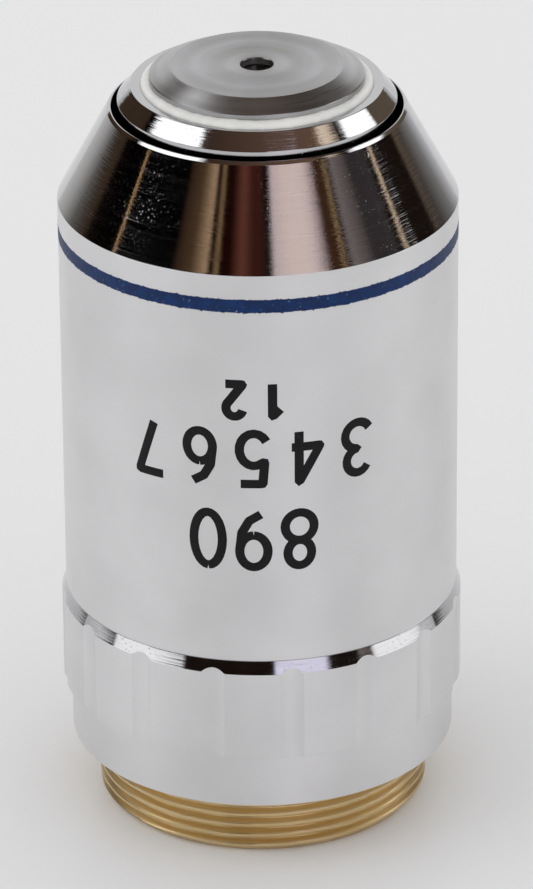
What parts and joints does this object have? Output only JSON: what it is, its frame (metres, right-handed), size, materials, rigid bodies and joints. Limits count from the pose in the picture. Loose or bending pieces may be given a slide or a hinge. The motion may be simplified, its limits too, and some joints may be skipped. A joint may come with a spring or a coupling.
{
  "type": "microscope objective",
  "caption": "Dry microscope objective: screw thread, fluted grip, long barrel with a colour ring, polished cone, and a sprung nose that slides in with its lens stack.",
  "frame": {"origin": "centre of the mounting shoulder, where the screw thread meets the shoulder", "axes": "+Z along the optical axis from the thread to the front lens; one flute of the grip is 8.5 degrees from -Y towards +X"},
  "size_m": [0.0246, 0.0246, 0.0479],
  "materials": {
    "satin_chrome": "satin chrome plate on brass, thread left bare brass",
    "bright_chrome": "chrome plate on brass, satin barrel and polished cone",
    "blue_paint": "blue enamel in a groove",
    "steel": "plain steel",
    "matte_steel": "fine matte turned steel",
    "spring_steel": "bright spring wire",
    "sleeve_brass": "turned brass",
    "cell_brass": "turned brass",
    "black_metal": "black coated brass",
    "white_sealant": "white sealing compound",
    "glass": "coated optical glass"
  },
  "bodies": {
    "housing": {"mount_body": "satin_chrome", "sleeve_lock_screws": "steel", "outer_shell": "bright_chrome", "colour_ring": "blue_paint", "guide_sleeve": "sleeve_brass", "parfocal_ring": "sleeve_brass", "stop_ring": "sleeve_brass", "guide_screw": "steel", "return_spring": "spring_steel"},
    "lens_unit": {"lens_barrel": "sleeve_brass", "nose_ring": "bright_chrome", "sealant_ring": "white_sealant", "front_cell": "matte_steel", "front_lens": "glass", "meniscus_cell": "cell_brass", "meniscus_lens": "glass", "front_doublet_cell": "cell_brass", "front_doublet_crown": "glass", "front_doublet_flint": "glass", "front_spacer": "black_metal", "middle_doublet_cell": "cell_brass", "middle_doublet_crown": "glass", "middle_doublet_flint": "glass", "aperture_stop": "black_metal", "long_spacer": "black_metal", "field_cell": "cell_brass", "field_negative_lens": "glass", "field_meniscus_lens": "glass", "rear_lock_ring": "black_metal"}
  },
  "joints": [
    {"name": "nose_retraction", "type": "slide", "parent": "housing", "child": "lens_unit", "axis": [0, 0, -1], "range_m": [0, 0.002], "stiffness_N_per_m": 245, "springref_m": -0.0082, "deforming": ["return_spring"]}
  ]
}
